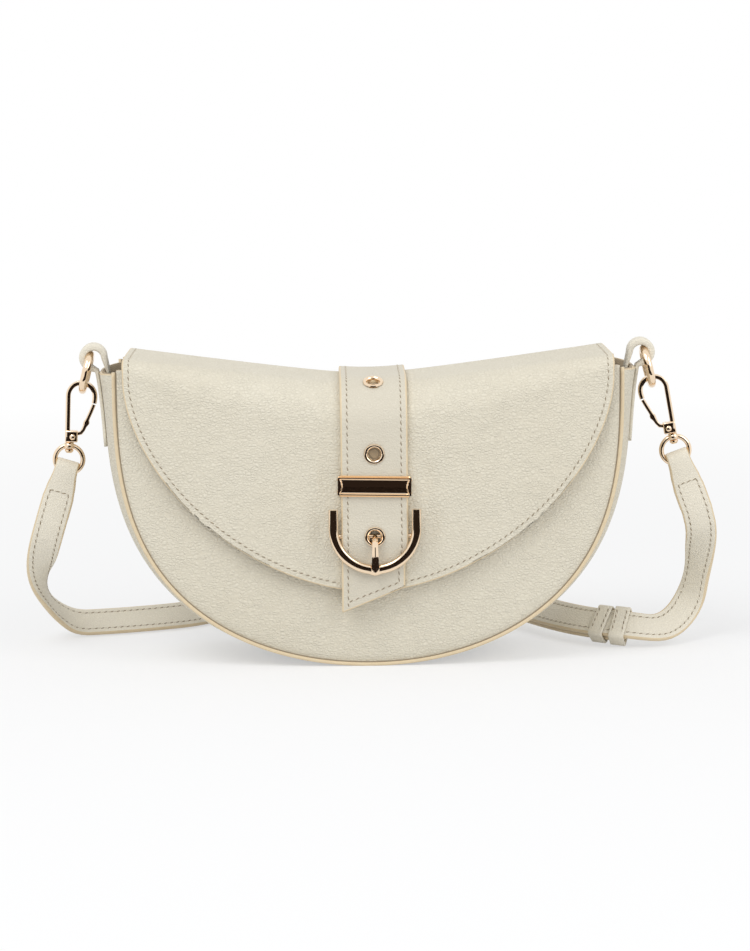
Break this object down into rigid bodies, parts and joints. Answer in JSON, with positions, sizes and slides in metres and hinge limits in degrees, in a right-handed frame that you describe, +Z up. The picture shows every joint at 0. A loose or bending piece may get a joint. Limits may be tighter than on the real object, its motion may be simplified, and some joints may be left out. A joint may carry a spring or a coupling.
{
  "type": "shoulder bag",
  "caption": "Half-moon shoulder bag with a deep front flap, a buckled centre tab, and an adjustable strap that clips to a ring at each side",
  "frame": {"origin": "middle of the flat underside on which the bag stands", "axes": "+Z up, the front faces -Y, and +X is to the right as seen from the front"},
  "size_m": [0.3359, 0.3165, 0.1523],
  "materials": {
    "cream_leather": "cream pebbled leather",
    "smooth_leather": "cream leather with a finer grain",
    "lining_cloth": "woven lining",
    "stiffener_board": "stiffening board",
    "pale_gold": "polished pale gold plating"
  },
  "bodies": {
    "body": {"front_panel": "cream_leather", "front_stiffener": "stiffener_board", "front_lining": "lining_cloth", "back_panel": "cream_leather", "back_stiffener": "stiffener_board", "back_lining": "lining_cloth", "slip_pocket": "lining_cloth", "gusset": "cream_leather", "gusset_lining": "lining_cloth", "magnet_socket": "pale_gold", "ring_loop_left": "smooth_leather", "ring_loop_right": "smooth_leather"},
    "flap": {"flap": "cream_leather", "flap_lining": "lining_cloth", "centre_tab": "smooth_leather", "eyelet_upper": "pale_gold", "eyelet_middle": "pale_gold", "eyelet_lower": "pale_gold", "bar_keeper": "pale_gold", "buckle_frame": "pale_gold", "magnet_stud": "pale_gold"},
    "prong": {"buckle_prong": "pale_gold"},
    "ring_left": {"ring_left": "pale_gold"},
    "ring_right": {"ring_right": "pale_gold"},
    "strap": {"strap_long": "smooth_leather", "strap_short": "smooth_leather", "swivel_ring_left": "pale_gold", "swivel_ring_right": "pale_gold", "strap_buckle_frame": "pale_gold", "strap_keeper_fixed": "smooth_leather"},
    "strap_keeper": {"strap_keeper_sliding": "smooth_leather"},
    "strap_prong": {"strap_buckle_prong": "pale_gold"},
    "hook_left": {"hook_left": "pale_gold", "hook_stem_left": "pale_gold", "gate_pin_left": "pale_gold"},
    "hook_right": {"hook_right": "pale_gold", "hook_stem_right": "pale_gold", "gate_pin_right": "pale_gold"},
    "gate_left": {"gate_left": "pale_gold"},
    "gate_right": {"gate_right": "pale_gold"}
  },
  "joints": [
    {"name": "flap_hinge", "type": "hinge", "parent": "body", "child": "flap", "pos_m": [0, 0.02945, 0.128], "axis": [-1, 0, 0], "range_deg": [0, 165]},
    {"name": "prong_hinge", "type": "hinge", "parent": "flap", "child": "prong", "pos_m": [0.0022, -0.04145, 0.0641], "axis": [-1, 0, 0], "range_deg": [0, 45]},
    {"name": "ring_left_swing", "type": "hinge", "parent": "body", "child": "ring_left", "pos_m": [-0.1323, 0, 0.14651], "axis": [0, 1, 0], "range_deg": [0, 4]},
    {"name": "ring_right_swing", "type": "hinge", "parent": "body", "child": "ring_right", "pos_m": [0.1323, 0, 0.14651], "axis": [0, -1, 0], "range_deg": [0, 4]},
    {"name": "strap_lift", "type": "hinge", "parent": "body", "child": "strap", "pos_m": [0, 0, 0.138], "axis": [1, 0, 0], "range_deg": [0, 60]},
    {"name": "keeper_slide", "type": "slide", "parent": "strap", "child": "strap_keeper", "axis": [0.9403, -0.3349, -0.0609], "range_m": [0, 0.002]},
    {"name": "strap_prong_hinge", "type": "hinge", "parent": "strap", "child": "strap_prong", "pos_m": [0.05783, 0.12211, 0.01292], "axis": [-0.7133, -0.0934, -0.6947], "range_deg": [0, 18]},
    {"name": "swivel_left", "type": "hinge", "parent": "strap", "child": "hook_left", "pos_m": [-0.1437, 0, 0.09601], "axis": [0.0436, 0, 0.999], "range_deg": [-4, 4]},
    {"name": "swivel_right", "type": "hinge", "parent": "strap", "child": "hook_right", "pos_m": [0.14801, 0, 0.09725], "axis": [-0.1736, 0, 0.9848], "range_deg": [-3, 4]},
    {"name": "gate_left_hinge", "type": "hinge", "parent": "hook_left", "child": "gate_left", "pos_m": [-0.14162, 0, 0.10703], "axis": [0, -1, 0], "range_deg": [0, 25], "stiffness_Nm_per_rad": 0.004, "springref_deg": -11.46},
    {"name": "gate_right_hinge", "type": "hinge", "parent": "hook_right", "child": "gate_right", "pos_m": [0.14451, 0, 0.1079], "axis": [0, 1, 0], "range_deg": [0, 25], "stiffness_Nm_per_rad": 0.004, "springref_deg": -11.46}
  ]
}
